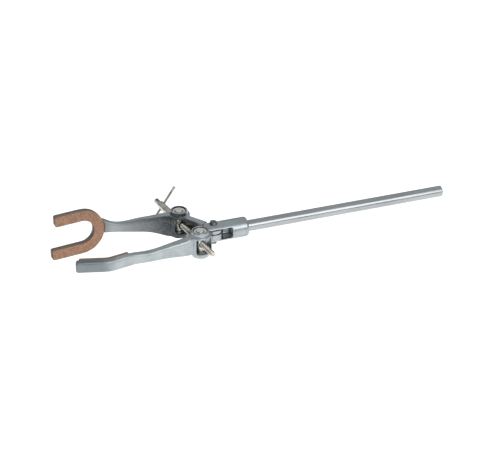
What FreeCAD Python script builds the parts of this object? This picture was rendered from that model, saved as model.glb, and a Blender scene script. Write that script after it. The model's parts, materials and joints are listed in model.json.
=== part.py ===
import FreeCAD, Part
import math
import os

from FreeCAD import Vector

# A three-prong extension clamp for a retort stand, lying with its support rod along +X.
# The origin is on the rod's axis where the rod leaves the collar. The jaws reach towards
# -X and swing in the XY plane about the vertical pivot pin. Lengths are millimetres,
# angles are degrees.

# Support rod and clevis
ROD_DIAMETER = 10.0
ROD_LENGTH = 186.0            # from the collar's rear face to the free end
ROD_CHAMFER = 0.7
ROD_SHOULDER = 1.0            # how much the rod is turned down, per side, inside the collar
COLLAR_DIAMETER = 17.8
COLLAR_LENGTH = 31.0          # from the pivot pin's axis to the collar's rear face
COLLAR_ROUND = 2.0
SLOT_HEIGHT = 10.0
SLOT_DEPTH = 15.4             # behind the pivot pin's axis
WEB_INSET = 3.0               # the slot is closed this far off its middle, on the fork's side,
WEB_CLEAR = 1.0               # beyond the sweep of the lugs' round eyes
SOCKET_FLOOR = 2.1            # metal between the slot and the rod's socket

# Pivot pin, lugs and the washer between them
PIN_DIAMETER = 6.0
PIN_PROUD = 2.2               # how far the pin's ends stand out of the collar
PIN_CHAMFER = 0.6
LUG_INSET = 0.5               # how far the lugs' round eyes lie inside the collar's nose
LUG_WIDTH = 8.6
FORK_LUG_HEIGHT = 3.2
LUG_WASHER = 0.5
LUG_WASHER_WIDTH = 2.2        # the washer's radius less the pin's

# Fits: radial for round ones, per side for flat ones
RUNNING_PLAY = 0.06           # pins and barrels that turn in their bores
FLAT_PLAY = 0.1               # stacked faces that turn on each other
FREE_PLAY = 0.5               # faces that only have to pass each other
LOOP_PLAY = 0.75              # the open pivot: finger barrel's bore round the spindle

# Elbows: where each jaw carries its swivel barrel, from the pivot pin's axis
FORK_ELBOW_RADIUS = 35.1
FORK_ELBOW_ANGLE = 131.4
FINGER_ELBOW_RADIUS = 20.8
FINGER_ELBOW_ANGLE = 219.3
BOSS_WALL = 1.9               # round the recess for a barrel's ring
BOSS_HEIGHT = 25.3
BOSS_ROUND = 0.9
RECESS_DEPTH = 2.0
RECESS_PLAY = 0.4             # round the ring
WINDOW_HEIGHT = 14.0
WINDOW_WIDTH = 14.6
EAR_WALL = 2.7                # of the round ears, each side of the window
EAR_ROUND = 1.2
CHANNEL_REACH = 26.0          # how far from an elbow the spindle's channel is cut
SLEEVE_CHANNEL_REACH = 16.0
FORK_SWING = (-6.0, 4.5)      # how far the spindle leans in the fork's elbow, with some room
FINGER_SWING = (-12.0, 18.0)  # and in the finger's elbow
REAR_ARM_HEIGHT = 13.0        # at the clevis, from where it grows to ELBOW_HEIGHT
REAR_ARM_WIDTH = 8.6
FORK_REAR_SHIFT = 2.4         # the fork's rear arm stands off the spindle by this much
ELBOW_HEIGHT = 18.6

# Swivel barrels and their rings
BARREL_WALL = 2.0             # round the spindle
SPOT_DEPTH = 0.5              # of the flats where the spindle's washers bear
SPIGOT_SHOULDER = 1.25        # the barrel's radius less its spigot's
RING_LIP = 1.2                # the ring's radius less the barrel's
RING_THICKNESS = 1.0
SPIGOT_PROUD = 0.5            # how far the spigot stands above its ring

# Spindle, its sleeve and the tommy bar
SPINDLE_DIAMETER = 5.0
SPINDLE_BACK = 44.0           # beyond the fork elbow
SPINDLE_FRONT = 23.0          # beyond the finger elbow
SPINDLE_CHAMFER = 0.6
SLEEVE_WALL = 1.0
SLEEVE_CHAMFER = 0.5
SLEEVE_OVERHANG = 3.6         # of the sleeve past the tommy bar's axis
WASHER_WIDTH = 1.9            # a washer's radius less the spindle's
WASHER_THICKNESS = 0.8
GROOVE_DEPTH = 0.5
TOMMY_DISTANCE = 32.2         # from the fork elbow to the tommy bar's axis
TOMMY_DIAMETER = 2.4
TOMMY_LENGTH = 42.2
TOMMY_TILT = 52.0             # the bar's lean above the horizontal
TOMMY_HEAD_DIAMETER = 3.2
TOMMY_HEAD_LENGTH = 1.2
TOMMY_HEAD_CHAMFER = 0.3

# Fork: a U of metal faced with cork, on a tapering arm
FORK_REACH = 108.8            # from the pivot pin's axis to the U's centre, along -X
FORK_OFFSET = 37.0            # from the rod's axis to the U's centre on the cork face
FORK_YAW = 7.2                # the U's plane leans in towards the grip
FORK_OUTER_RADIUS = 21.3
FORK_INNER_RADIUS = 11.4
UPPER_PRONG = 24.8            # the prongs' straight lengths
LOWER_PRONG = 28.8
PRONG_CORNER = 1.6
FORK_METAL = 3.6
FORK_CORK = 2.6
FORK_ARM_WIDTH = 9.0
FORK_ARM_END_WIDTH = 5.0
FORK_WAIST_HEIGHT = 9.6
FORK_FLARE_HEIGHT = 14.0
FORK_ARM_DROP = 2.2           # how far the waist lies below the elbow
FORK_ARM_SAG = 3.2            # how much deeper its lower edge runs where it leaves the boss
FORK_ARM_SINK = 1.5           # how far the arm's end runs into the U's plate

# Finger: a tapering arm with a knee, faced with cork from behind the knee to the tip
FINGER_REACH = 101.0          # from the pivot pin's axis to the knee, along -X
FINGER_OFFSET = -20.4         # of the knee on the cork's glue line
FINGER_ARM_OFFSET = -16.8     # of the glue line where the cork begins
FINGER_CORK_BACK = 19.0       # length of the cork strip behind the knee
FINGER_CORK_SHORT = 3.0       # the strip stops this much before the tip
FINGER_TIP = 27.6             # from the knee to the tip, along -X
TIP_ROUND = 3.0
KNEE_RADIUS = 16.0
TIP_ANGLE = 15.0              # the tip's lean in towards the grip
FINGER_METAL = 6.2
FINGER_CORK = 3.2
FINGER_ARM_WIDTH = 8.6
FINGER_WAIST_HEIGHT = 10.2
FINGER_ARM_DROP = 1.8
FINGER_TIP_HEIGHT = 11.2
FINGER_CORK_HEIGHT = 9.8
PAD_STEP = 0.2                # the finger's pad stands proud of the arm all round
EDGE_ROUND = 1.1
OUTER_ROUND = 2.9
CORK_ROUND = 0.5

UP = Vector(0, 0, 1)
PIVOT = Vector(-COLLAR_LENGTH, 0, 0)
NOSE_RADIUS = COLLAR_DIAMETER / 2
NOSE_CLEAR = NOSE_RADIUS + FREE_PLAY
SOCKET_DEPTH = COLLAR_LENGTH - SLOT_DEPTH - SOCKET_FLOOR
LUG_RADIUS = NOSE_RADIUS - LUG_INSET
LUG_WASHER_RADIUS = PIN_DIAMETER / 2 + LUG_WASHER_WIDTH
SPINDLE_RADIUS = SPINDLE_DIAMETER / 2
SLEEVE_RADIUS = SPINDLE_RADIUS + SLEEVE_WALL
WASHER_RADIUS = SPINDLE_RADIUS + WASHER_WIDTH
BARREL_RADIUS = SPINDLE_RADIUS + BARREL_WALL
SPIGOT_RADIUS = BARREL_RADIUS - SPIGOT_SHOULDER
RING_RADIUS = BARREL_RADIUS + RING_LIP
RECESS_RADIUS = RING_RADIUS + RECESS_PLAY
BOSS_RADIUS = RECESS_RADIUS + BOSS_WALL
EAR_RADIUS = WINDOW_WIDTH / 2 + EAR_WALL


def level(degrees):
    """Unit vector in the XY plane."""
    return Vector(math.cos(math.radians(degrees)), math.sin(math.radians(degrees)), 0)


def across(direction):
    """Unit vector in the XY plane, a quarter turn to the left of direction."""
    return Vector(-direction.y, direction.x, 0)


FORK_ELBOW = PIVOT + level(FORK_ELBOW_ANGLE) * FORK_ELBOW_RADIUS
FINGER_ELBOW = PIVOT + level(FINGER_ELBOW_ANGLE) * FINGER_ELBOW_RADIUS
ALONG = (FINGER_ELBOW - FORK_ELBOW).normalize()    # the spindle's axis, towards its free end


def cylinder(radius, start, direction, length):
    return Part.makeCylinder(radius, length, start, direction)


def upright(radius, centre, low, high):
    return cylinder(radius, centre + UP * low, UP, high - low)


def block(start, direction, length, width, height):
    """A box that runs from start along direction, centred on it in width and height."""
    corner = Vector(0, -width / 2, -height / 2)
    box = Part.makeBox(length, width, height, corner)
    turn = math.degrees(math.atan2(direction.y, direction.x))
    box.rotate(Vector(0, 0, 0), UP, turn)
    box.translate(start)
    return box


def section(point, direction, inner, outer, height, inner_radius, outer_radius):
    """A rounded rectangle across direction: inner and outer are its sides' distances to the
    right and to the left of the point, and each side has its own corner radius."""
    side = across(direction)
    half = height / 2
    edges = []
    corners = (
        (outer, half, outer_radius, 0),
        (-inner, half, inner_radius, 90),
        (-inner, -half, inner_radius, 180),
        (outer, -half, outer_radius, 270),
    )
    arcs = []
    for across_at, up_at, radius, start in corners:
        centre_across = across_at - math.copysign(radius, across_at + inner / 2 - outer / 2)
        centre_up = up_at - math.copysign(radius, up_at)
        points = []
        for turn in (0, 45, 90):
            angle = math.radians(start + turn)
            reach = centre_across + radius * math.cos(angle)
            rise = centre_up + radius * math.sin(angle)
            points.append(point + side * reach + UP * rise)
        arcs.append(points)
    for this, following in zip(arcs, arcs[1:] + arcs[:1]):
        edges.append(Part.Arc(*this).toShape())
        edges.append(Part.makeLine(this[2], following[0]))
    return Part.Wire(edges)


def blend(low, high, share):
    return low + (high - low) * share


def heading(points, index):
    """Level direction of the path at one of its points, from its neighbours."""
    before = points[max(index - 1, 0)]
    after = points[min(index + 1, len(points) - 1)]
    return Vector(after.x - before.x, after.y - before.y, 0).normalize()


def outer_round(width):
    """The outer side is nearly half round, as far as the bar's width allows."""
    return min(OUTER_ROUND, width * 0.42)


def arm(stations):
    """A solid through rounded sections. Each station is (point, inner, outer, height)."""
    points = [station[0] for station in stations]
    wires = []
    for index, (point, inner, outer, height) in enumerate(stations):
        wires.append(section(point, heading(points, index), inner, outer, height,
                             EDGE_ROUND, outer_round(inner + outer)))
    return Part.makeLoft(wires, True, False)


def rounded_disc(radius, centre, height, rim_round):
    """An upright disc, centred in height, with both rims rounded."""
    disc = upright(radius, centre, -height / 2, height / 2)
    return disc.makeFillet(rim_round, [edge for edge in disc.Edges if edge.Closed])


def elbow_boss(elbow):
    """The tall boss round the barrel's ends, standing on the wider round ears."""
    boss = rounded_disc(BOSS_RADIUS, elbow, BOSS_HEIGHT, BOSS_ROUND)
    return boss.fuse(rounded_disc(EAR_RADIUS, elbow, ELBOW_HEIGHT, EAR_ROUND))


def elbow_hollow(elbow, swing, channels):
    """All that is cut from an elbow: the barrel's bore, the two recesses for its rings, the
    window between the ears and the channels that the leaning spindle sweeps. Each channel
    is (radius, reach), the first towards the spindle's free end."""
    half = BOSS_HEIGHT / 2
    cuts = [upright(BARREL_RADIUS + RUNNING_PLAY, elbow, -half - 1, half + 1)]
    for low, high in ((half - RECESS_DEPTH, half + 1), (-half - 1, RECESS_DEPTH - half)):
        cuts.append(upright(RECESS_RADIUS, elbow, low, high))
    depth = max(BOSS_RADIUS, EAR_RADIUS) + 2
    cuts.append(block(elbow - ALONG * depth, ALONG, 2 * depth, WINDOW_WIDTH, WINDOW_HEIGHT))
    for lean in (swing[0], 0, swing[1]):
        turned = FreeCAD.Rotation(UP, lean).multVec(ALONG)
        for sign, (radius, reach) in zip((1, -1), channels):
            width = 2 * (radius + FREE_PLAY)
            cuts.append(block(elbow, turned * sign, reach, width, width))
    return cuts[0].multiFuse(cuts[1:])


def lug(low, high, elbow_angle):
    """The flat eye of a jaw on the pivot pin, with the bar that joins it to the rear arm."""
    eye = upright(LUG_RADIUS, PIVOT, low, high)
    bar = block(PIVOT, level(elbow_angle), NOSE_CLEAR + 3, LUG_WIDTH, high - low)
    bar.translate(UP * (low + high) / 2)
    return eye.fuse(bar)


def rear_arm(elbow, elbow_angle, shift):
    """From the clevis nose to the elbow boss. It is cut clear of the nose all round."""
    out = level(elbow_angle)
    near = PIVOT + out * (NOSE_RADIUS - 1)
    far = elbow - out * (BOSS_RADIUS * 0.4) + across(out) * shift
    half = REAR_ARM_WIDTH / 2
    middle = (near + far) * 0.5
    bar = arm([
        (near, half, half, REAR_ARM_HEIGHT),
        (middle, half, half, blend(REAR_ARM_HEIGHT, ELBOW_HEIGHT, 0.5)),
        (far, half, half, ELBOW_HEIGHT),
    ])
    return bar.cut(upright(NOSE_CLEAR, PIVOT, -BOSS_HEIGHT, BOSS_HEIGHT))


# Heights of the two lugs in the slot: the fork's above, the finger's below
SLOT_TOP = SLOT_HEIGHT / 2
FORK_LUG = (SLOT_TOP - FLAT_PLAY - FORK_LUG_HEIGHT, SLOT_TOP - FLAT_PLAY)
WASHER_TOP = FORK_LUG[0] - FLAT_PLAY
FINGER_LUG = (-SLOT_TOP + FLAT_PLAY, WASHER_TOP - LUG_WASHER - FLAT_PLAY)


def rod_spigot(length):
    """The turned-down end of the rod, from the collar's rear face inwards."""
    radius = ROD_DIAMETER / 2 - ROD_SHOULDER
    return cylinder(radius, Vector(0, 0, 0), Vector(-1, 0, 0), length)


def support_rod():
    rod = cylinder(ROD_DIAMETER / 2, Vector(0, 0, 0), Vector(1, 0, 0), ROD_LENGTH)
    free_end = [edge for edge in rod.Edges if edge.Closed and edge.CenterOfMass.x > 1]
    return rod.makeChamfer(ROD_CHAMFER, free_end).fuse(rod_spigot(SOCKET_DEPTH))


def clevis_body():
    """Round collar with a slotted nose: the nose is rounded about the pin as well."""
    radius = COLLAR_DIAMETER / 2
    bar = cylinder(radius, PIVOT - Vector(radius, 0, 0), Vector(1, 0, 0), COLLAR_LENGTH + radius)
    rear = [edge for edge in bar.Edges if edge.Closed and edge.CenterOfMass.x > -1]
    bar = bar.makeFillet(COLLAR_ROUND, rear)
    plan = upright(NOSE_RADIUS, PIVOT, -radius, radius)
    plan = plan.fuse(block(PIVOT, Vector(1, 0, 0), COLLAR_LENGTH, COLLAR_DIAMETER, COLLAR_DIAMETER))
    body = bar.common(plan)
    slot = block(PIVOT - Vector(radius + 1, 0, 0), Vector(1, 0, 0), radius + 1 + SLOT_DEPTH,
                 COLLAR_DIAMETER + 2, SLOT_HEIGHT)
    web_start = PIVOT + Vector(LUG_RADIUS + WEB_CLEAR, WEB_INSET + COLLAR_DIAMETER / 2, 0)
    slot = slot.cut(block(web_start, Vector(1, 0, 0), SLOT_DEPTH, COLLAR_DIAMETER, SLOT_HEIGHT))
    pin_bore = upright(PIN_DIAMETER / 2, PIVOT, -radius - 1, radius + 1)
    return body.cut(slot).cut(rod_spigot(SOCKET_DEPTH)).cut(pin_bore)


def pivot_pin():
    half = COLLAR_DIAMETER / 2 + PIN_PROUD
    pin = upright(PIN_DIAMETER / 2, PIVOT, -half, half)
    return pin.makeChamfer(PIN_CHAMFER, [edge for edge in pin.Edges if edge.Closed])


def lug_washer():
    disc = upright(LUG_WASHER_RADIUS, PIVOT, WASHER_TOP - LUG_WASHER, WASHER_TOP)
    return disc.cut(upright(PIN_DIAMETER / 2, PIVOT, -SLOT_TOP, SLOT_TOP))


# The U of the fork lies in an upright plane: FACING is the cork face's outward normal and
# TOWARDS runs to the prongs' tips.
FACING = level(FORK_YAW - 90)
TOWARDS = level(180 + FORK_YAW)
ARC_MIDDLE = 1 - math.cos(math.radians(45))    # an arc's middle, in from its corner
FORK_CENTRE = PIVOT + Vector(-FORK_REACH, FORK_OFFSET, 0)


def fork_outline(depth):
    """The U as a face, at a depth behind the cork face."""
    base = FORK_CENTRE - FACING * depth

    def at(along, rise):
        return base + TOWARDS * along + UP * rise

    inner, outer = FORK_INNER_RADIUS, FORK_OUTER_RADIUS
    edges = [Part.Arc(at(0, outer), at(-outer, 0), at(0, -outer)).toShape(),
             Part.Arc(at(0, inner), at(-inner, 0), at(0, -inner)).toShape()]
    r = PRONG_CORNER
    m = r * ARC_MIDDLE
    for sign, tip in ((1, UPPER_PRONG), (-1, LOWER_PRONG)):
        out_arc = [at(tip - r, sign * outer), at(tip - m, sign * (outer - m)),
                   at(tip, sign * (outer - r))]
        in_arc = [at(tip, sign * (inner + r)), at(tip - m, sign * (inner + m)),
                  at(tip - r, sign * inner)]
        edges.append(Part.makeLine(at(0, sign * outer), out_arc[0]))
        edges.append(Part.Arc(*out_arc).toShape())
        edges.append(Part.makeLine(out_arc[2], in_arc[0]))
        edges.append(Part.Arc(*in_arc).toShape())
        edges.append(Part.makeLine(in_arc[2], at(0, sign * inner)))
    return Part.Face(Part.Wire(Part.__sortEdges__(edges)))


def fork_cork():
    return fork_outline(0).extrude(-FACING * FORK_CORK)


def fork_front_arm():
    """From the elbow out to the U's base: it narrows to a waist and flares at the base."""
    base = FORK_CENTRE - TOWARDS * (FORK_OUTER_RADIUS - FORK_ARM_SINK)
    base = base - FACING * (FORK_CORK + FORK_METAL / 2)
    start = FORK_ELBOW
    span = base - start
    half = FORK_ARM_WIDTH / 2
    end = FORK_ARM_END_WIDTH / 2
    stations = []
    for share, bow, slim, flare, drop, sag in (
        (0.0, 0.0, 0.0, 0.0, 0.0, 0.0),
        (0.13, -0.8, 0.0, 0.0, 0.0, 1.0),
        (0.23, -0.8, 0.12, 0.0, 0.1, 0.5),
        (0.36, -0.5, 0.36, 0.0, 0.3, 0.0),
        (0.57, -0.1, 0.70, 0.0, 0.65, 0.0),
        (0.78, -0.2, 1.0, 0.0, 1.0, 0.0),
        (0.90, -0.2, 1.0, 0.35, 0.65, 0.0),
        (1.0, 0.0, 1.0, 1.0, 0.0, 0.0),
    ):
        deeper = FORK_ARM_SAG * sag
        point = start + span * share + Vector(0, bow, -FORK_ARM_DROP * drop - deeper / 2)
        width = blend(half, end, slim)
        height = blend(blend(ELBOW_HEIGHT, FORK_WAIST_HEIGHT, slim), FORK_FLARE_HEIGHT, flare)
        height += deeper
        stations.append((point, width, width, height))
    return arm(stations)


def fork_jaw():
    plate = fork_outline(FORK_CORK).extrude(-FACING * FORK_METAL)
    parts = [fork_front_arm(), elbow_boss(FORK_ELBOW),
             rear_arm(FORK_ELBOW, FORK_ELBOW_ANGLE, FORK_REAR_SHIFT),
             lug(*FORK_LUG, FORK_ELBOW_ANGLE)]
    solid = plate.multiFuse(parts)
    channels = ((SPINDLE_RADIUS, CHANNEL_REACH), (SLEEVE_RADIUS, SLEEVE_CHANNEL_REACH))
    solid = solid.cut(elbow_hollow(FORK_ELBOW, FORK_SWING, channels))
    solid = solid.cut(fork_outline(0).extrude(-FACING * FORK_CORK))
    return solid.cut(upright(PIN_DIAMETER / 2 + RUNNING_PLAY, PIVOT, -SLOT_TOP, SLOT_TOP))


def finger_path(short=0):
    """The finger's glue line at its cork: a straight run, the knee's arc and the tip's run,
    which may stop short. The metal lies outside it, and the cork inside."""
    knee = PIVOT + Vector(-FINGER_REACH, FINGER_OFFSET, 0)
    start = Vector(knee.x + FINGER_CORK_BACK, FINGER_ARM_OFFSET, 0)
    tip = knee + level(180 - TIP_ANGLE) * (FINGER_TIP / math.cos(math.radians(TIP_ANGLE)) - short)
    before = (knee - start).normalize()
    after = (tip - knee).normalize()
    half_turn = before.getAngle(after) / 2
    setback = KNEE_RADIUS * math.tan(half_turn)
    inward = (after - before).normalize()
    middle = knee + inward * (KNEE_RADIUS / math.cos(half_turn) - KNEE_RADIUS)
    bend = (knee - before * setback, middle, knee + after * setback)
    path = Part.Wire([Part.makeLine(start, bend[0]), Part.Arc(*bend).toShape(),
                      Part.makeLine(bend[2], tip)])
    return start, before, path


def along_finger(inner, outer, height, inner_radius, outer_radius, short=0):
    """A bar of one section that follows the finger's glue line."""
    start, direction, path = finger_path(short)
    profile = section(start, direction, inner, outer, height, inner_radius, outer_radius)
    return path.makePipeShell([profile], True, True)


def finger_front_arm():
    """From the elbow to where the cork begins, with its inner side on the glue line there."""
    end, direction, _ = finger_path()
    start = FINGER_ELBOW + Vector(0, FINGER_ARM_WIDTH / 2, 0)
    width = FINGER_ARM_WIDTH
    stations = []
    for share, bow, slim, drop in ((0.0, 0.0, 0.0, 0.0), (0.16, 0.5, 0.13, 0.4),
                                   (0.34, 0.5, 0.5, 0.9), (0.60, 0.3, 0.9, 1.0),
                                   (0.82, 0.1, 1.0, 0.65)):
        point = start + (end - start) * share + Vector(0, bow, -FINGER_ARM_DROP * drop)
        stations.append((point, 0, blend(width, FINGER_METAL, slim),
                         blend(ELBOW_HEIGHT, FINGER_WAIST_HEIGHT, slim)))
    inset = FINGER_METAL - PAD_STEP
    for run in (0, EDGE_ROUND, 4 * EDGE_ROUND):
        stations.append((end + direction * run, -PAD_STEP, inset, FINGER_TIP_HEIGHT - 2 * PAD_STEP))
    return arm(stations)


def finger_cork():
    return along_finger(FINGER_CORK, 0, FINGER_CORK_HEIGHT, CORK_ROUND, CORK_ROUND,
                        FINGER_CORK_SHORT)


def tip_corner(sign):
    """What the finger's upper or lower end corner loses when it is rounded."""
    outward = level(180 - TIP_ANGLE)
    side = across(outward)
    width = 3 * FINGER_METAL
    reach = TIP_ROUND + 1
    rise = sign * (FINGER_TIP_HEIGHT / 2 - TIP_ROUND)
    centre = finger_path()[2].Vertexes[-1].Point - outward * TIP_ROUND + UP * rise
    corner = block(centre + UP * sign * reach / 2, outward, reach, width, reach)
    return corner.cut(cylinder(TIP_ROUND, centre - side * width / 2, side, width))


def finger_jaw():
    tip = along_finger(0, FINGER_METAL, FINGER_TIP_HEIGHT, EDGE_ROUND, outer_round(FINGER_METAL))
    tip = tip.cut(tip_corner(1)).cut(tip_corner(-1))
    solid = tip.multiFuse([finger_front_arm(), elbow_boss(FINGER_ELBOW),
                           rear_arm(FINGER_ELBOW, FINGER_ELBOW_ANGLE, 0),
                           lug(*FINGER_LUG, FINGER_ELBOW_ANGLE)])
    channels = ((SPINDLE_RADIUS, CHANNEL_REACH),) * 2
    solid = solid.cut(elbow_hollow(FINGER_ELBOW, FINGER_SWING, channels))
    return solid.cut(upright(PIN_DIAMETER / 2 + RUNNING_PLAY, PIVOT, -SLOT_TOP, SLOT_TOP))


RECESS_FLOOR = BOSS_HEIGHT / 2 - RECESS_DEPTH
SHOULDER = RECESS_FLOOR + FLAT_PLAY
RING_TOP = SHOULDER + RING_THICKNESS


def barrel(elbow, bore_radius):
    """Upright swivel barrel: a spigot at each end carries a ring, and the spindle crosses it
    between two flats."""
    body = upright(BARREL_RADIUS, elbow, -SHOULDER, SHOULDER)
    reach = RING_TOP + SPIGOT_PROUD
    body = body.fuse(upright(SPIGOT_RADIUS, elbow, -reach, reach))
    flat = BARREL_RADIUS - SPOT_DEPTH
    for sign in (1, -1):
        body = body.cut(block(elbow + ALONG * sign * flat, ALONG * sign, 2,
                              2 * BARREL_RADIUS + 1, 2 * WASHER_RADIUS + 1))
    through = cylinder(bore_radius, elbow - ALONG * BARREL_RADIUS * 2, ALONG, BARREL_RADIUS * 4)
    return body.cut(through)


def barrel_ring(elbow, sign):
    low, high = sorted((sign * SHOULDER, sign * RING_TOP))
    ring = upright(RING_RADIUS, elbow, low, high)
    return ring.cut(upright(SPIGOT_RADIUS, elbow, low - 1, high + 1))


def on_spindle(radius, start, length):
    """A round piece on the spindle, from start to start + length past the fork elbow,
    counted towards the free end."""
    return cylinder(radius, FORK_ELBOW + ALONG * start, ALONG, length)


SPINDLE_LENGTH = SPINDLE_BACK + (FINGER_ELBOW - FORK_ELBOW).Length + SPINDLE_FRONT
FLAT_FACE = BARREL_RADIUS - SPOT_DEPTH + FLAT_PLAY
GROOVE_START = FLAT_FACE + WASHER_THICKNESS
SLEEVE_START = -(FLAT_FACE + WASHER_THICKNESS)
SLEEVE_END = -(TOMMY_DISTANCE + SLEEVE_OVERHANG)
TOMMY_CENTRE = FORK_ELBOW - ALONG * TOMMY_DISTANCE
TOMMY_AXIS = (across(ALONG) * math.cos(math.radians(TOMMY_TILT))
              + UP * math.sin(math.radians(TOMMY_TILT)))


def tommy_hole():
    reach = SLEEVE_RADIUS + 1
    return cylinder(TOMMY_DIAMETER / 2, TOMMY_CENTRE - TOMMY_AXIS * reach, TOMMY_AXIS, 2 * reach)


def spindle():
    rod = on_spindle(SPINDLE_RADIUS, -SPINDLE_BACK, SPINDLE_LENGTH)
    rod = rod.makeChamfer(SPINDLE_CHAMFER, [edge for edge in rod.Edges if edge.Closed])
    groove = on_spindle(SPINDLE_RADIUS + 1, GROOVE_START, WASHER_THICKNESS)
    groove = groove.cut(on_spindle(SPINDLE_RADIUS - GROOVE_DEPTH, GROOVE_START, WASHER_THICKNESS))
    return rod.cut(groove).cut(tommy_hole())


def thrust_sleeve():
    length = SLEEVE_START - SLEEVE_END
    sleeve = on_spindle(SLEEVE_RADIUS, SLEEVE_END, length)
    sleeve = sleeve.makeChamfer(SLEEVE_CHAMFER, [edge for edge in sleeve.Edges if edge.Closed])
    return sleeve.cut(on_spindle(SPINDLE_RADIUS, SLEEVE_END - 1, length + 2)).cut(tommy_hole())


def spindle_washer(start, bore_radius):
    disc = on_spindle(WASHER_RADIUS, start, WASHER_THICKNESS)
    return disc.cut(on_spindle(bore_radius, start - 1, WASHER_THICKNESS + 2))


def tommy_bar():
    half = TOMMY_LENGTH / 2
    bar = cylinder(TOMMY_DIAMETER / 2, TOMMY_CENTRE - TOMMY_AXIS * half, TOMMY_AXIS, TOMMY_LENGTH)
    for sign in (1, -1):
        start = TOMMY_CENTRE + TOMMY_AXIS * sign * (half - TOMMY_HEAD_LENGTH)
        head = cylinder(TOMMY_HEAD_DIAMETER / 2, start, TOMMY_AXIS * sign, TOMMY_HEAD_LENGTH)
        rims = [edge for edge in head.Edges if edge.Closed]
        bar = bar.fuse(head.makeChamfer(TOMMY_HEAD_CHAMFER, rims))
    return bar


NODES = {
    "support_rod": support_rod,
    "clevis_body": clevis_body,
    "pivot_pin": pivot_pin,
    "lug_washer": lug_washer,
    "fork_jaw": fork_jaw,
    "fork_cork": fork_cork,
    "finger_jaw": finger_jaw,
    "finger_cork": finger_cork,
    "fork_barrel": lambda: barrel(FORK_ELBOW, SPINDLE_RADIUS + RUNNING_PLAY),
    "fork_ring_upper": lambda: barrel_ring(FORK_ELBOW, 1),
    "fork_ring_lower": lambda: barrel_ring(FORK_ELBOW, -1),
    "finger_barrel": lambda: barrel(FINGER_ELBOW, SPINDLE_RADIUS + LOOP_PLAY),
    "finger_ring_upper": lambda: barrel_ring(FINGER_ELBOW, 1),
    "finger_ring_lower": lambda: barrel_ring(FINGER_ELBOW, -1),
    "spindle": spindle,
    "thrust_sleeve": thrust_sleeve,
    "thrust_washer": lambda: spindle_washer(-FLAT_FACE - WASHER_THICKNESS, SPINDLE_RADIUS),
    "spindle_clip": lambda: spindle_washer(GROOVE_START, SPINDLE_RADIUS - GROOVE_DEPTH),
    "clip_washer": lambda: spindle_washer(FLAT_FACE, SPINDLE_RADIUS),
    "tommy_bar": tommy_bar,
}

os.makedirs("parts", exist_ok=True)
for name, make in NODES.items():
    shape = make()
    shape.exportStep("parts/" + name + ".step")
    box = shape.BoundBox
    print(f"{name:18s} solids {len(shape.Solids)} valid {shape.isValid()} "
          f"volume {shape.Volume:9.1f} x {box.XMin:7.1f} {box.XMax:7.1f} "
          f"y {box.YMin:6.1f} {box.YMax:6.1f} z {box.ZMin:6.1f} {box.ZMax:6.1f}")
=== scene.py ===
import json
import math

import bmesh
import bpy
import numpy as np
from mathutils import Matrix, Vector, noise


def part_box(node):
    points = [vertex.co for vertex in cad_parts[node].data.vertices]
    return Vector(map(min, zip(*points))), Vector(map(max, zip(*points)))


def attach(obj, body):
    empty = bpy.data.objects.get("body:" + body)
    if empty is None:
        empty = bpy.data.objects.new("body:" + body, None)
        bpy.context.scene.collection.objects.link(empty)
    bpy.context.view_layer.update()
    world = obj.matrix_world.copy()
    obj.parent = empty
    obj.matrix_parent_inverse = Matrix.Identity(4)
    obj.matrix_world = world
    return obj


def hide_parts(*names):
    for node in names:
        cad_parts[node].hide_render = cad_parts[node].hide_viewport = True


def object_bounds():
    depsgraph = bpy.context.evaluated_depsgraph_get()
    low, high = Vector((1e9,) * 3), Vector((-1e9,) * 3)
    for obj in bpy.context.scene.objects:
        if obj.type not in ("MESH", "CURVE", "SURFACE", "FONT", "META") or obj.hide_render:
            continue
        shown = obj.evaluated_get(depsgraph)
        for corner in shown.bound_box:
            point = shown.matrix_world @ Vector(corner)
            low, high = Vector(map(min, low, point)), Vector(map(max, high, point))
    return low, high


# A three-prong extension clamp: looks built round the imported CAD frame. Lengths are metres.

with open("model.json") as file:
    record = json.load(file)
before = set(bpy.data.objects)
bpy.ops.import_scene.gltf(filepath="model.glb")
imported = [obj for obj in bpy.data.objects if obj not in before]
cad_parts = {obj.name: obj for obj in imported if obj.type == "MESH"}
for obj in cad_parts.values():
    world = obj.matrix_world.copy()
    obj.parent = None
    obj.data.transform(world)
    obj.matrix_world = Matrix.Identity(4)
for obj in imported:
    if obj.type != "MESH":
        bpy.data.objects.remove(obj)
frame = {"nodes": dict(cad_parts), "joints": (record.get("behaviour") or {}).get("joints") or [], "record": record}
cad_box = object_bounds()

MM = 0.001

# Camera: where it looks from, and how much of the scene it takes in
CAMERA_AZIMUTH = 17.85
CAMERA_ELEVATION = 30.94
CAMERA_ROLL = -0.85
CAMERA_DISTANCE = 1.911
CAMERA_LENS = 163.4
CAMERA_SHIFT = (0.0556, -0.0043)

# Studio: how bright the sky is at each height, as the sine of the elevation
SKY = ((0.0, 0.25), (0.2, 0.28), (0.40, 0.56), (0.60, 0.66), (0.85, 0.66), (1.0, 0.60))

LIGHTS = (    # name, place, size, power in watts, mirrored in the metal
    ("overhead", (0.0, -0.2, 1.9), (3.2, 2.6), 52, False),
    ("front", (0.32, -2.05, 1.25), (2.4, 1.45), 25, True),
)
FLOOR_DROP = 55 * MM          # the clamp is shown above the floor, without a holder
FLOOR_HALF = 3.0

JOINTS = {joint["name"]: joint for joint in frame["joints"]}
PIVOT = Vector(JOINTS["jaw_swing"]["pos_m"])
FORK_ELBOW = Vector(JOINTS["fork_swivel_turn"]["pos_m"])
FINGER_ELBOW = Vector(JOINTS["finger_swivel_turn"]["pos_m"])
ALONG = -Vector(JOINTS["screw_turn"]["axis"]).normalized()
UP = Vector((0, 0, 1))
BODY_OF = {node: body for body, nodes in frame["record"]["behaviour"]["bodies"].items()
           for node in nodes}
SLOT_OF = {row["node"]: row["material_slot"] for row in frame["record"]["subparts"]}


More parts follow.
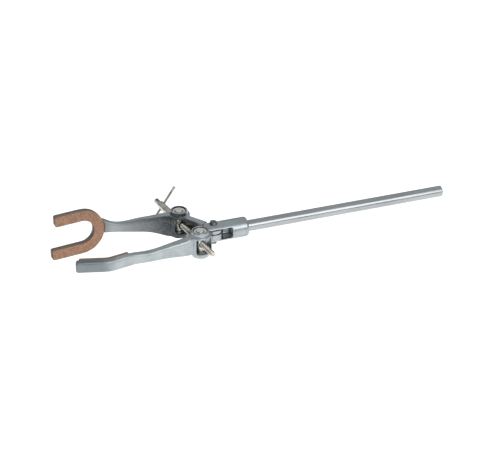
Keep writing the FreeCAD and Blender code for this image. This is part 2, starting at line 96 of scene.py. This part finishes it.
# ---------------------------------------------------------------- node helpers

class Nodes:
    """A small builder for material node trees."""

    def __init__(self, name):
        self.material = bpy.data.materials.new(name)
        self.material.use_nodes = True
        self.tree = self.material.node_tree
        self.tree.nodes.clear()
        self.output = self.add("ShaderNodeOutputMaterial")
        self.shader = self.add("ShaderNodeBsdfPrincipled")
        self.link(self.shader.outputs[0], self.output.inputs["Surface"])

    def add(self, kind, **settings):
        node = self.tree.nodes.new(kind)
        for key, value in settings.items():
            setattr(node, key, value)
        return node

    def link(self, source, target):
        self.tree.links.new(source, target)

    def put(self, target, value):
        """Sets a socket to a number or colour, or links it to another socket."""
        if isinstance(value, bpy.types.NodeSocket):
            self.link(value, target)
        else:
            target.default_value = value

    def coordinates(self, stretch=(1, 1, 1)):
        source = self.add("ShaderNodeTexCoord")
        mapping = self.add("ShaderNodeMapping")
        mapping.inputs["Scale"].default_value = stretch
        self.link(source.outputs["Object"], mapping.inputs["Vector"])
        return mapping.outputs["Vector"]

    def noise(self, scale, detail=3.0, roughness=0.55, stretch=(1, 1, 1)):
        node = self.add("ShaderNodeTexNoise")
        self.link(self.coordinates(stretch), node.inputs["Vector"])
        node.inputs["Scale"].default_value = scale
        node.inputs["Detail"].default_value = detail
        node.inputs["Roughness"].default_value = roughness
        return node.outputs["Fac"]

    def cells(self, scale, vector, feature="F1", output="Distance"):
        node = self.add("ShaderNodeTexVoronoi", feature=feature)
        self.link(vector, node.inputs["Vector"])
        node.inputs["Scale"].default_value = scale
        return node.outputs[output]

    def ramp(self, source, low, high, start, end):
        """Maps a value from low..high to start..end, clamped."""
        node = self.add("ShaderNodeMapRange")
        self.link(source, node.inputs["Value"])
        node.inputs["From Min"].default_value = low
        node.inputs["From Max"].default_value = high
        node.inputs["To Min"].default_value = start
        node.inputs["To Max"].default_value = end
        return node.outputs["Result"]

    def math(self, operation, first, second=0.0):
        node = self.add("ShaderNodeMath", operation=operation)
        self.put(node.inputs[0], first)
        self.put(node.inputs[1], second)
        return node.outputs[0]

    def mix(self, share, first, second):
        node = self.add("ShaderNodeMix", data_type="RGBA")
        self.put(node.inputs[0], share)
        for target, value in ((node.inputs[6], first), (node.inputs[7], second)):
            self.put(target, value if isinstance(value, bpy.types.NodeSocket) else (*value, 1.0))
        return node.outputs[2]

    def wear(self):
        """Above 0.5 on raised edges and below it in hollows."""
        return self.add("ShaderNodeNewGeometry").outputs["Pointiness"]

    def normal_along(self, axis):
        """How far the surface faces along an axis of the object, -1 to 1."""
        source = self.add("ShaderNodeTexCoord")
        dot = self.add("ShaderNodeVectorMath", operation="DOT_PRODUCT")
        self.link(source.outputs["Normal"], dot.inputs[0])
        dot.inputs[1].default_value = axis
        return dot.outputs["Value"]

    def corners(self, distance=3 * MM):
        """Ambient occlusion: near 1 in the open, lower in recesses and inside corners; the mask for painted shade.
        """
        node = self.add("ShaderNodeAmbientOcclusion", samples=6)
        node.inputs["Distance"].default_value = distance
        return node.outputs["AO"]

    def bump(self, height, distance, strength=1.0, before=None):
        node = self.add("ShaderNodeBump")
        self.link(height, node.inputs["Height"])
        node.inputs["Distance"].default_value = distance
        node.inputs["Strength"].default_value = strength
        if before:
            self.link(before, node.inputs["Normal"])
        return node.outputs["Normal"]

    def finish(self, color, roughness, normal=None, **fixed):
        inputs = self.shader.inputs
        self.put(inputs["Base Color"], color if isinstance(color, bpy.types.NodeSocket)
                 else (*color, 1.0))
        self.put(inputs["Roughness"], roughness)
        if normal:
            self.link(normal, inputs["Normal"])
        for key, value in fixed.items():
            inputs[key.replace("_", " ").title().replace("Ior", "IOR")].default_value = value
        return self.material


# ---------------------------------------------------------------- materials

CAST_DARK = (0.32, 0.35, 0.36)
CAST_LIGHT = (0.42, 0.445, 0.45)
CAST_WORN = (0.50, 0.52, 0.52)
# dark of the small pits, and of the painted shade in corners and recesses
CAST_PITS_AND_SHADE = (0.05, 0.054, 0.058)
# painted shade for the finger's tip
CAST_TIP_SHADE = (0.115, 0.135, 0.145)
# as-cast skin and painted shade on the fork's grip-facing faces
CAST_RAW_AND_SHADE = ((0.03, 0.033, 0.037), (0.125, 0.13, 0.135))
CAST_STAIN = (0.105, 0.085, 0.072)
CORK_GRANULES = 560                               # granules per metre
KNEE_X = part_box("finger_cork")[1][0] - 20 * MM    # where the finger's tip bends in
KNEE_FADE = (8 * MM, -6 * MM)                     # the painted tip shade starts and ends, from the knee
FORK_BASE_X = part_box("fork_cork")[1][0] + 6.7 * MM     # the arm's end at the fork's U
GLUE_FADE = 10 * MM                               # the cork's glue stains beyond that end
ARM_X = FORK_ELBOW.x - 11.8 * MM                  # the arm's end at its elbow
LUG_X = (FORK_ELBOW.x + 10.2 * MM, FORK_ELBOW.x + 16.2 * MM)    # the grip-facing darkening stops at the lug

def tip_shade(n, tone, start, end):
    """Darkens the finger's casting towards its tip with painted shade, standing in for the dark surroundings it
    reflects.
    """
    place = n.add("ShaderNodeSeparateXYZ")
    n.link(n.coordinates(), place.inputs[0])
    share = n.ramp(place.outputs["X"], end, start, 0.68, 0)
    return n.mix(share, tone, CAST_TIP_SHADE)


def cast_metal():
    """Die-casting, tumbled and satin plated: grain, small pits, bright worn ridges, painted
    shade in corners and recesses, and a finger tip darkened with painted shade."""
    n = Nodes("cast_metal")
    cloud = n.noise(110, 4, 0.6)
    grain = n.noise(1500, 5, 0.65)
    peel = n.noise(420, 3, 0.5)
    pits = n.ramp(n.noise(900, 3, 0.6), 0.30, 0.38, 1, 0)
    tone = n.mix(n.ramp(cloud, 0.35, 0.65, 0, 1), CAST_DARK, CAST_LIGHT)
    worn = n.math("MULTIPLY", n.ramp(n.wear(), 0.53, 0.60, 0, 0.5),
                  n.ramp(cloud, 0.4, 0.6, 0.3, 1))
    tone = n.mix(worn, tone, CAST_WORN)
    tone = n.mix(n.math("MULTIPLY", pits, 0.35), tone, CAST_PITS_AND_SHADE)
    tone = tip_shade(n, tone, *(KNEE_X + fade for fade in KNEE_FADE))
    # painted shade: darker in corners and recesses, by ambient occlusion
    tone = n.mix(n.ramp(n.corners(2.5 * MM), 0.12, 0.72, 0, 1), CAST_PITS_AND_SHADE, tone)
    rough = n.math("ADD", n.ramp(cloud, 0.3, 0.7, 0.26, 0.36), n.ramp(grain, 0.4, 0.6, 0, 0.08))
    normal = n.bump(peel, 0.08 * MM, 0.5)
    normal = n.bump(grain, 0.02 * MM, 0.6, normal)
    return n.finish(tone, rough, normal, metallic=1.0)


def cast_inner():
    """The fork's casting: its faces towards the grip are darker, partly the as-cast skin and
    partly painted shade, fading out near the U; the cork's glue has stained the U itself."""
    n = Nodes("cast_inner")
    cloud = n.noise(110, 4, 0.6)
    grain = n.noise(1300, 5, 0.7)
    peel = n.noise(420, 3, 0.5)
    mottle = n.noise(330, 5, 0.7)
    tone = n.mix(n.ramp(cloud, 0.35, 0.65, 0, 1), CAST_DARK, CAST_LIGHT)
    tone = n.mix(n.ramp(n.wear(), 0.53, 0.60, 0, 0.4), tone, CAST_WORN)
    place = n.add("ShaderNodeSeparateXYZ")
    n.link(n.coordinates(), place.inputs[0])
    # faces towards the grip: darker, partly as-cast skin and partly painted shade
    facing = n.math("MULTIPLY", n.ramp(n.normal_along((-0.45, -0.89, 0)), 0.15, 0.6, 0, 1),
                    n.ramp(place.outputs["X"], *LUG_X, 1, 0))
    raw_and_shade = n.mix(n.ramp(mottle, 0.30, 0.70, 0, 1), *CAST_RAW_AND_SHADE)
    # the darkening fades out towards the U
    fades_near_u = n.ramp(place.outputs["X"], FORK_BASE_X, ARM_X, 0.75, 0)
    raw_and_shade = n.mix(fades_near_u, raw_and_shade, CAST_LIGHT)
    stained = n.ramp(place.outputs["X"], FORK_BASE_X, FORK_BASE_X - GLUE_FADE, 0, 0.72)
    tone = n.mix(facing, tone, raw_and_shade)
    tone = n.mix(stained, tone, CAST_STAIN)
    # painted shade: darker in corners and recesses, by ambient occlusion
    tone = n.mix(n.ramp(n.corners(2.5 * MM), 0.12, 0.72, 0, 1), CAST_PITS_AND_SHADE, tone)
    rough = n.math("ADD", n.ramp(cloud, 0.3, 0.7, 0.28, 0.38), n.ramp(facing, 0, 1, 0, 0.16))
    normal = n.bump(peel, 0.08 * MM, 0.6)
    normal = n.bump(grain, 0.03 * MM, 0.7, normal)
    return n.finish(tone, rough, normal, metallic=1.0)


def plated_rod():
    """Drawn steel, plated: fine lines along the rod, faint waviness and a few rubs."""
    n = Nodes("plated_rod")
    lines = n.noise(2600, 2, 0.6, (0.012, 1, 1))
    cloud = n.noise(60, 3, 0.5, (0.3, 1, 1))
    rubs = n.ramp(n.noise(700, 4, 0.7, (0.08, 1, 1)), 0.60, 0.70, 0, 0.35)
    tone = n.mix(n.ramp(cloud, 0.35, 0.65, 0, 1), (0.33, 0.345, 0.35), (0.39, 0.405, 0.41))
    tone = n.mix(rubs, tone, (0.28, 0.285, 0.285))
    rough = n.math("ADD", n.ramp(cloud, 0.3, 0.7, 0.17, 0.25), n.ramp(lines, 0.4, 0.6, 0, 0.08))
    return n.finish(tone, rough, n.bump(lines, 0.012 * MM, 0.5), metallic=1.0)


def plated_steel():
    """Turned steel barrels, rings and pin: zinc plating, turning marks, painted shade in corners."""
    n = Nodes("plated_steel")
    cloud = n.noise(300, 4, 0.6)
    grain = n.noise(2400, 3, 0.6)
    tone = n.mix(n.ramp(cloud, 0.35, 0.65, 0, 1), (0.62, 0.61, 0.56), (0.82, 0.81, 0.75))
    # painted shade: darker in corners and recesses, by ambient occlusion
    tone = n.mix(n.ramp(n.corners(1.5 * MM), 0.2, 0.8, 0, 1), (0.07, 0.07, 0.065), tone)
    rough = n.ramp(cloud, 0.3, 0.7, 0.24, 0.38)
    return n.finish(tone, rough, n.bump(grain, 0.015 * MM, 0.6), metallic=1.0)


def dark_steel():
    """The pivot pin's riveted ends: dark grey steel, with filing marks."""
    n = Nodes("dark_steel")
    cloud = n.noise(420, 4, 0.6)
    marks = n.noise(2100, 3, 0.6, (1, 0.2, 1))
    tone = n.mix(n.ramp(cloud, 0.35, 0.65, 0, 1), (0.10, 0.105, 0.105), (0.24, 0.24, 0.235))
    rough = n.ramp(cloud, 0.3, 0.7, 0.30, 0.45)
    return n.finish(tone, rough, n.bump(marks, 0.02 * MM, 0.7), metallic=1.0)


def nickel_steel():
    """Nickel-plated spindle and tommy bar: warm, a little tarnished, with painted shade in the thread."""
    n = Nodes("nickel_steel")
    cloud = n.noise(260, 4, 0.6)
    grain = n.noise(2200, 3, 0.6)
    tone = n.mix(n.ramp(cloud, 0.32, 0.68, 0, 1), (0.36, 0.33, 0.29), (0.66, 0.62, 0.555))
    # painted shade: darker in the thread and corners, by ambient occlusion
    tone = n.mix(n.ramp(n.corners(1 * MM), 0.25, 0.9, 0, 1), (0.035, 0.032, 0.028), tone)
    rough = n.ramp(cloud, 0.3, 0.7, 0.15, 0.27)
    return n.finish(tone, rough, n.bump(grain, 0.012 * MM, 0.6), metallic=1.0)


def cork():
    """Agglomerated cork: pressed granules in browns, dark pores, a sanded face, cut edges
    coloured darker by the way they face, and painted shade in corners."""
    n = Nodes("cork")
    warp = n.add("ShaderNodeVectorMath", operation="ADD")
    swirl = n.add("ShaderNodeTexNoise")
    base = n.coordinates()
    n.link(base, swirl.inputs["Vector"])
    swirl.inputs["Scale"].default_value = 900
    scaled = n.add("ShaderNodeVectorMath", operation="SCALE")
    n.link(swirl.outputs["Color"], scaled.inputs[0])
    scaled.inputs["Scale"].default_value = 0.9 * MM
    n.link(base, warp.inputs[0])
    n.link(scaled.outputs[0], warp.inputs[1])
    place = warp.outputs[0]
    granule = n.cells(CORK_GRANULES, place, output="Color")
    split = n.add("ShaderNodeSeparateColor")
    n.link(granule, split.inputs[0])
    seam = n.cells(CORK_GRANULES, place, feature="DISTANCE_TO_EDGE")
    fine = n.noise(3200, 4, 0.7)
    cloud = n.noise(160, 3, 0.6)
    tone = n.mix(split.outputs[0], (0.215, 0.112, 0.068), (0.345, 0.200, 0.130))
    tone = n.mix(n.ramp(cloud, 0.35, 0.65, 0, 0.6), tone, (0.270, 0.150, 0.094))
    tone = n.mix(n.ramp(fine, 0.42, 0.62, 0, 0.30), tone, (0.405, 0.265, 0.186))
    pores = n.ramp(n.noise(1500, 3, 0.6), 0.32, 0.42, 1, 0)
    tone = n.mix(n.math("MULTIPLY", pores, 0.75), tone, (0.075, 0.040, 0.026))
    tone = n.mix(n.ramp(seam, 0.0, 0.06, 0.5, 0), tone, (0.12, 0.062, 0.038))
    # the edge faces, those not facing across the grip, are coloured darker
    side = n.ramp(n.math("ABSOLUTE", n.normal_along((0.13, -0.99, 0))), 0.55, 0.9, 1, 0)
    tone = n.mix(n.math("MULTIPLY", side, 0.78), tone, (0.085, 0.060, 0.048))
    # painted shade: darker in corners and recesses, by ambient occlusion
    shade = n.ramp(n.corners(2 * MM), 0.2, 0.8, 0, 1)
    tone = n.mix(shade, (0.09, 0.055, 0.04), tone)
    normal = n.bump(seam, 0.25 * MM, 0.35)
    normal = n.bump(fine, 0.12 * MM, 0.5, normal)
    return n.finish(tone, n.ramp(fine, 0.3, 0.7, 0.78, 0.95), normal, specular_ior_level=0.25)


def floor_paper():
    n = Nodes("floor_paper")
    tone = n.mix(n.noise(25, 3, 0.5), (0.90, 0.90, 0.90), (0.93, 0.93, 0.93))
    return n.finish(tone, 0.9)


MATERIALS = {make.__name__: make() for make in
             (cast_metal, cast_inner, plated_rod, plated_steel, dark_steel, nickel_steel,
              cork)}

for name, node in frame["nodes"].items():
    node.data.materials.clear()
    node.data.materials.append(MATERIALS[SLOT_OF[name]])


# ---------------------------------------------------------------- geometry helpers

def link(name, mesh, look, body, *nodes):
    """Makes a mesh into a piece that stands for CAD nodes and rides on their body."""
    mesh.polygons.foreach_set("use_smooth", [True] * len(mesh.polygons))
    piece = bpy.data.objects.new(name, mesh)
    bpy.context.scene.collection.objects.link(piece)
    mesh.materials.clear()
    mesh.materials.append(MATERIALS[look])
    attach(piece, body)
    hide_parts(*nodes)
    return piece


def points_of(node):
    """A CAD node's vertices at rest, in metres, as an array."""
    mesh = frame["nodes"][node].data
    flat = np.empty(3 * len(mesh.vertices))
    mesh.vertices.foreach_get("co", flat)
    matrix = np.array(frame["nodes"][node].matrix_world)
    return flat.reshape(-1, 3) @ matrix[:3, :3].T + matrix[:3, 3]


def extent(node, origin, axis):
    """How far a node runs along an axis from an origin, and its radius about the axis."""
    away = points_of(node) - np.array(origin)
    along = away @ np.array(axis)
    radial = np.linalg.norm(away - np.outer(along, np.array(axis)), axis=1)
    return along.min(), along.max(), radial.max()


def remeshed(node, voxel):
    """A fine, even, closed mesh of a CAD node."""
    source = frame["nodes"][node]
    mesh = source.data.copy()
    mesh.transform(source.matrix_world)
    holder = bpy.data.objects.new("holder", mesh)
    bpy.context.scene.collection.objects.link(holder)
    remesh = holder.modifiers.new("voxels", "REMESH")
    remesh.mode = "VOXEL"
    remesh.voxel_size = voxel
    graph = bpy.context.evaluated_depsgraph_get()
    fine = bpy.data.meshes.new_from_object(holder.evaluated_get(graph))
    bpy.data.objects.remove(holder)
    fine.name = node
    return fine


def read_points(mesh):
    flat = np.empty(3 * len(mesh.vertices))
    mesh.vertices.foreach_get("co", flat)
    return flat.reshape(-1, 3)


def write_points(mesh, points):
    mesh.vertices.foreach_set("co", np.ascontiguousarray(points).ravel())
    mesh.update()


def relax(mesh, rounds, weight):
    """Moves each vertex towards the middle of its neighbours, by its own weight."""
    points = read_points(mesh)
    edges = np.empty(2 * len(mesh.edges), dtype=np.int64)
    mesh.edges.foreach_get("vertices", edges)
    first, second = edges.reshape(-1, 2).T
    count = len(points)
    degree = np.bincount(first, minlength=count) + np.bincount(second, minlength=count)
    for _ in range(rounds):
        middle = np.empty_like(points)
        for axis in range(3):
            column = points[:, axis]
            total = np.bincount(first, weights=column[second], minlength=count)
            total += np.bincount(second, weights=column[first], minlength=count)
            middle[:, axis] = total / np.maximum(degree, 1)
        points += weight[:, None] * (middle - points)
    write_points(mesh, points)


def near_axis(points, centre, radius, fade):
    """1 within radius of an upright axis, falling to 0 over the fade."""
    away = np.hypot(points[:, 0] - centre.x, points[:, 1] - centre.y)
    return np.clip((radius + fade - away) / fade, 0, 1)


def ripple(mesh, scale, depth, seed, low=0.0):
    """Presses soft random hollows into a surface, never outwards."""
    normals = np.empty(3 * len(mesh.vertices))
    mesh.vertices.foreach_get("normal", normals)
    points = read_points(mesh)
    shift = Vector((seed, -seed, 2 * seed))
    value = np.array([noise.noise(Vector(point) * scale + shift) for point in points])
    value = np.clip((value + 1) / 2 - low, 0, 1)
    write_points(mesh, points - normals.reshape(-1, 3) * (value * depth)[:, None])


def bridged(bm, pairs, segments, name):
    """Joins pairs of vertex rings with faces, where a ring of one vertex is a pole."""
    for near, far in pairs:
        for k in range(segments):
            m = (k + 1) % segments
            corners = [near[k % len(near)], near[m % len(near)],
                       far[m % len(far)], far[k % len(far)]]
            bm.faces.new(list(dict.fromkeys(corners)))
    bmesh.ops.recalc_face_normals(bm, faces=bm.faces)
    mesh = bpy.data.meshes.new(name)
    bm.to_mesh(mesh)
    bm.free()
    return mesh


def lathe(profile, origin, axis, segments=64):
    """Turns a profile of (distance along the axis, radius) points into a closed mesh."""
    axis = Vector(axis).normalized()
    side = axis.orthogonal().normalized()
    other = axis.cross(side)
    bm = bmesh.new()
    rings = []
    for along, radius in profile:
        centre = Vector(origin) + axis * along
        if radius <= 0:
            rings.append([bm.verts.new(centre)])
            continue
        turns = [math.tau * k / segments for k in range(segments)]
        rings.append([bm.verts.new(centre + (side * math.cos(t) + other * math.sin(t)) * radius)
                      for t in turns])
    pairs = list(zip(rings, rings[1:]))
    if len(rings[0]) > 1:
        pairs.append((rings[-1], rings[0]))
    return bridged(bm, pairs, segments, "turned")


def eased(corners, radius, steps=4):
    """Rounds the corners of an open profile with short arcs."""
    out = [corners[0]]
    for before, corner, after in zip(corners, corners[1:], corners[2:]):
        a, b, c = (Vector(p) for p in (before, corner, after))
        into, out_of = (a - b), (c - b)
        cut = min(radius, into.length * 0.45, out_of.length * 0.45)
        start, end = b + into.normalized() * cut, b + out_of.normalized() * cut
        for k in range(steps + 1):
            t = k / steps
            out.append(tuple(start * (1 - t) ** 2 + b * 2 * t * (1 - t) + end * t * t))
    out.append(corners[-1])
    return out


def solid_profile(low, high, radius, edge, dome=0.0):
    """A round bar from low to high with eased rims; the dome raises the end faces."""
    flat = radius * 0.55
    return eased([(low - dome, 0), (low - dome, flat * 0.5), (low, radius), (high, radius),
                  (high + dome, flat * 0.5), (high + dome, 0)], edge)


def ring_profile(low, high, inner, outer, edge):
    return eased([(low, inner), (low, outer), (high, outer), (high, inner)], edge)


# ---------------------------------------------------------------- pieces

CAST_VOXEL = 0.38 * MM
CAST_ROUNDS = 14
BARREL_REGION = 6.6 * MM      # round each elbow's axis, where bores and recesses stay crisp
THREAD_PITCH = 0.8 * MM
THREAD_DEPTH = 0.46 * MM


def make_casting(node, crisp, seed, skin="cast_metal"):
    """A die-casting: soft corners, fillets where members meet and a faint uneven skin."""
    mesh = remeshed(node, CAST_VOXEL)
    points = read_points(mesh)
    keep = np.zeros(len(points))
    for centre, radius in crisp:
        keep = np.maximum(keep, near_axis(points, centre, radius, 1.5 * MM))
    relax(mesh, CAST_ROUNDS, 0.5 * (1 - 0.88 * keep))
    ripple(mesh, 260, 0.07 * MM, seed)
    return link(node + "_cast", mesh, skin, BODY_OF[node], node)


def make_cork(node, seed):
    """Pressed cork: soft cut edges, and pits and crumbs pressed into every face."""
    mesh = remeshed(node, 0.3 * MM)
    relax(mesh, 3, np.full(len(mesh.vertices), 0.5))
    ripple(mesh, 700, 0.22 * MM, seed)
    ripple(mesh, 1900, 0.5 * MM, seed + 7, low=0.68)
    return link(node + "_pad", mesh, "cork", BODY_OF[node], node)


def make_rod():
    low, high, radius = extent("support_rod", (0, 0, 0), (1, 0, 0))
    profile = [(low, 0), (low, radius * 0.78), (0, radius * 0.78), (0, radius)]
    profile += [(high - 0.9 * MM, radius), (high - 0.35 * MM, radius - 0.55 * MM),
                (high, radius - 1.3 * MM), (high, 0.6 * MM), (high - 0.35 * MM, 0)]
    mesh = lathe(eased(profile, 0.25 * MM), (0, 0, 0), (1, 0, 0), 96)
    return link("rod", mesh, "plated_rod", BODY_OF["support_rod"], "support_rod")


def make_pin():
    low, high, radius = extent("pivot_pin", PIVOT, UP)
    mesh = lathe(solid_profile(low + 0.3 * MM, high - 0.3 * MM, radius, 0.5 * MM, 0.3 * MM),
                 PIVOT, UP)
    return link("pin", mesh, "dark_steel", BODY_OF["pivot_pin"], "pivot_pin")


def make_ring(node, centre):
    low, high, outer = extent(node, centre, UP)
    inner = np.hypot(*(points_of(node)[:, :2] - np.array(centre)[:2]).T).min()
    mesh = lathe(ring_profile(low, high, inner, outer, 0.35 * MM), centre, UP)
    return link(node + "_turned", mesh, "plated_steel", BODY_OF[node], node)


def make_barrel(node):
    """The swivel barrel with eased rims; its cross bore and flats come from the CAD."""
    mesh = remeshed(node, 0.22 * MM)
    relax(mesh, 3, np.full(len(mesh.vertices), 0.5))
    return link(node + "_turned", mesh, "plated_steel", BODY_OF[node], node)


def make_spindle_washer(node):
    low, high, outer = extent(node, FORK_ELBOW, ALONG)
    inner = SPINDLE_RADIUS
    mesh = lathe(ring_profile(low, high, inner, outer, 0.2 * MM), FORK_ELBOW, ALONG)
    return link(node + "_turned", mesh, "nickel_steel", BODY_OF[node], node)


def thread_profile(phase):
    """Height of the thread's flank, 0 at the root and 1 at the crest, over one pitch."""
    rise = abs(2 * phase - 1)
    return min(max((rise - 0.12) / 0.72, 0), 1)


def make_spindle():
    """M5 x 0.8: a real right-handed helix from the fork's elbow to the free end."""
    low, high, _ = extent("spindle", FORK_ELBOW, ALONG)
    start = extent("spindle_clip", FORK_ELBOW, ALONG)[1] + 0.6 * MM
    side = ALONG.orthogonal().normalized()
    other = ALONG.cross(side)
    segments, per_pitch = 40, 12
    bm = bmesh.new()
    # Each station is (distance along, share of the full radius, share of the thread's depth)
    stations = [(low, 0.0, 0.0), (low, 0.55, 0.0), (low + 0.25 * MM, 0.86, 0.0),
                (low + 0.7 * MM, 1.0, 0.0), (start - 0.3 * MM, 1.0, 0.0)]
    count = int((high - start) / THREAD_PITCH * per_pitch)
    for k in range(count + 1):
        at = start + (high - start) * k / count
        run_in = min(1, (at - start) / (2 * THREAD_PITCH))
        point = min(1, 0.80 + 0.20 * (high - at) / (0.9 * MM))
        stations.append((at, point, run_in))
    stations += [(high, 0.5, 0.0), (high, 0.0, 0.0)]
    rings = []
    for at, share, depth in stations:
        centre = FORK_ELBOW + ALONG * at
        if share == 0:
            rings.append([bm.verts.new(centre)])
            continue
        ring = []
        for k in range(segments):
            turn = math.tau * k / segments
            flank = thread_profile((at / THREAD_PITCH - k / segments) % 1)
            radius = SPINDLE_RADIUS - THREAD_DEPTH * depth * (1 - flank)
            radius = min(radius, SPINDLE_RADIUS * share)
            outward = side * math.cos(turn) + other * math.sin(turn)
            ring.append(bm.verts.new(centre + outward * radius))
        rings.append(ring)
    mesh = bridged(bm, zip(rings, rings[1:]), segments, "spindle")
    return link("threaded_spindle", mesh, "nickel_steel", BODY_OF["spindle"], "spindle")


def make_sleeve():
    low, high, outer = extent("thrust_sleeve", FORK_ELBOW, ALONG)
    mesh = lathe(ring_profile(low, high, SPINDLE_RADIUS, outer, 0.55 * MM), FORK_ELBOW, ALONG)
    return link("sleeve", mesh, "nickel_steel", BODY_OF["thrust_sleeve"], "thrust_sleeve")


def make_tommy_bar():
    """A thin bar whose ends are upset into small round heads."""
    points = points_of("tommy_bar")
    centre = Vector(points.mean(axis=0))
    spread = np.linalg.svd(points - points.mean(axis=0), full_matrices=False)[2][0]
    axis = Vector(spread).normalized()
    low, high, head = extent("tommy_bar", centre, axis)
    middle = (low + high) / 2
    half = (high - low) / 2
    bar = head * 0.75
    end = []
    for k in range(9):
        turn = math.pi * k / 9
        end.append((half - head + head * math.cos(turn), head * math.sin(turn)))
    end += [(half - 2.1 * head, bar), (half - 3 * head, bar)]
    profile = [(middle - along, radius) for along, radius in end]
    profile += [(middle + along, radius) for along, radius in reversed(end)]
    mesh = lathe(profile, centre, axis, 40)
    return link("cross_bar", mesh, "nickel_steel", BODY_OF["tommy_bar"], "tommy_bar")


SPINDLE_RADIUS = extent("spindle", FORK_ELBOW, ALONG)[2]
elbows = ((FORK_ELBOW, BARREL_REGION), (FINGER_ELBOW, BARREL_REGION), (PIVOT, 8 * MM))
make_casting("fork_jaw", elbows, 1, "cast_inner")
make_casting("finger_jaw", elbows, 2)
make_casting("clevis_body", ((PIVOT, 3.5 * MM),), 5)
make_cork("fork_cork", 11)
make_cork("finger_cork", 23)
make_rod()
make_pin()
for node, centre in (("fork", FORK_ELBOW), ("finger", FINGER_ELBOW)):
    make_barrel(node + "_barrel")
    make_ring(node + "_ring_upper", centre)
    make_ring(node + "_ring_lower", centre)
for node in ("thrust_washer", "spindle_clip", "clip_washer"):
    make_spindle_washer(node)
make_spindle()
make_sleeve()
make_tommy_bar()


# ---------------------------------------------------------------- stage

def basis():
    """The camera's directions: to the right, up, and back from what it looks at."""
    azimuth, elevation, roll = (math.radians(a) for a in
                                (CAMERA_AZIMUTH, CAMERA_ELEVATION, CAMERA_ROLL))
    toward = Vector((-math.sin(azimuth) * math.cos(elevation),
                     -math.cos(azimuth) * math.cos(elevation), math.sin(elevation)))
    right = Vector((math.cos(azimuth), -math.sin(azimuth), 0))
    above = toward.cross(right)
    turned_right = right * math.cos(roll) + above * math.sin(roll)
    return turned_right, toward.cross(turned_right), toward


def add_camera():
    right, above, toward = basis()
    data = bpy.data.cameras.new("camera")
    data.lens = CAMERA_LENS
    data.sensor_width = 36
    data.shift_x, data.shift_y = CAMERA_SHIFT
    data.clip_end = 20
    camera = bpy.data.objects.new("camera", data)
    bpy.context.scene.collection.objects.link(camera)
    turn = Matrix((right, above, toward)).transposed().to_4x4()
    camera.matrix_world = Matrix.Translation(PIVOT + toward * CAMERA_DISTANCE) @ turn
    bpy.context.scene.camera = camera


def add_floor():
    mesh = bpy.data.meshes.new("floor")
    z = cad_box[0][2] - FLOOR_DROP
    corners = [(x * FLOOR_HALF, y * FLOOR_HALF, z) for x, y in ((-1, -1), (1, -1), (1, 1), (-1, 1))]
    mesh.from_pydata(corners, [], [(0, 1, 2, 3)])
    floor = bpy.data.objects.new("floor", mesh)
    floor.data.materials.append(floor_paper())
    bpy.context.scene.collection.objects.link(floor)


def add_light(name, place, size, power, mirrored):
    """A soft box aimed at the clamp. An unmirrored one lights surfaces but isn't reflected."""
    data = bpy.data.lights.new(name, "AREA")
    data.shape = "RECTANGLE"
    data.size, data.size_y = size
    data.energy = power
    light = bpy.data.objects.new(name, data)
    aim = (Vector((PIVOT.x, 0, 0)) - Vector(place)).to_track_quat("-Z", "Y")
    light.matrix_world = Matrix.Translation(place) @ aim.to_matrix().to_4x4()
    light.visible_glossy = mirrored
    light.visible_camera = False
    bpy.context.scene.collection.objects.link(light)


def add_world():
    """A pale studio: dim at the horizon, soft grey-blue above it and brighter overhead."""
    world = bpy.data.worlds.new("studio")
    bpy.context.scene.world = world
    world.use_nodes = True
    tree = world.node_tree
    background = tree.nodes["Background"]
    source = tree.nodes.new("ShaderNodeTexCoord")
    split = tree.nodes.new("ShaderNodeSeparateXYZ")
    ramp = tree.nodes.new("ShaderNodeValToRGB")
    tree.links.new(source.outputs["Generated"], split.inputs[0])
    tree.links.new(split.outputs["Z"], ramp.inputs[0])
    tree.links.new(ramp.outputs[0], background.inputs["Color"])
    stops = ramp.color_ramp.elements
    while len(stops) < len(SKY):
        stops.new(0.5)
    for stop, (height, tone) in zip(stops, SKY):
        stop.position = height
        stop.color = (tone * 0.95, tone, tone * 1.03, 1)
    background.inputs["Strength"].default_value = 1.0


add_camera()
add_floor()
add_world()
for light in LIGHTS:
    add_light(*light)
bpy.context.scene.view_settings.view_transform = "Standard"
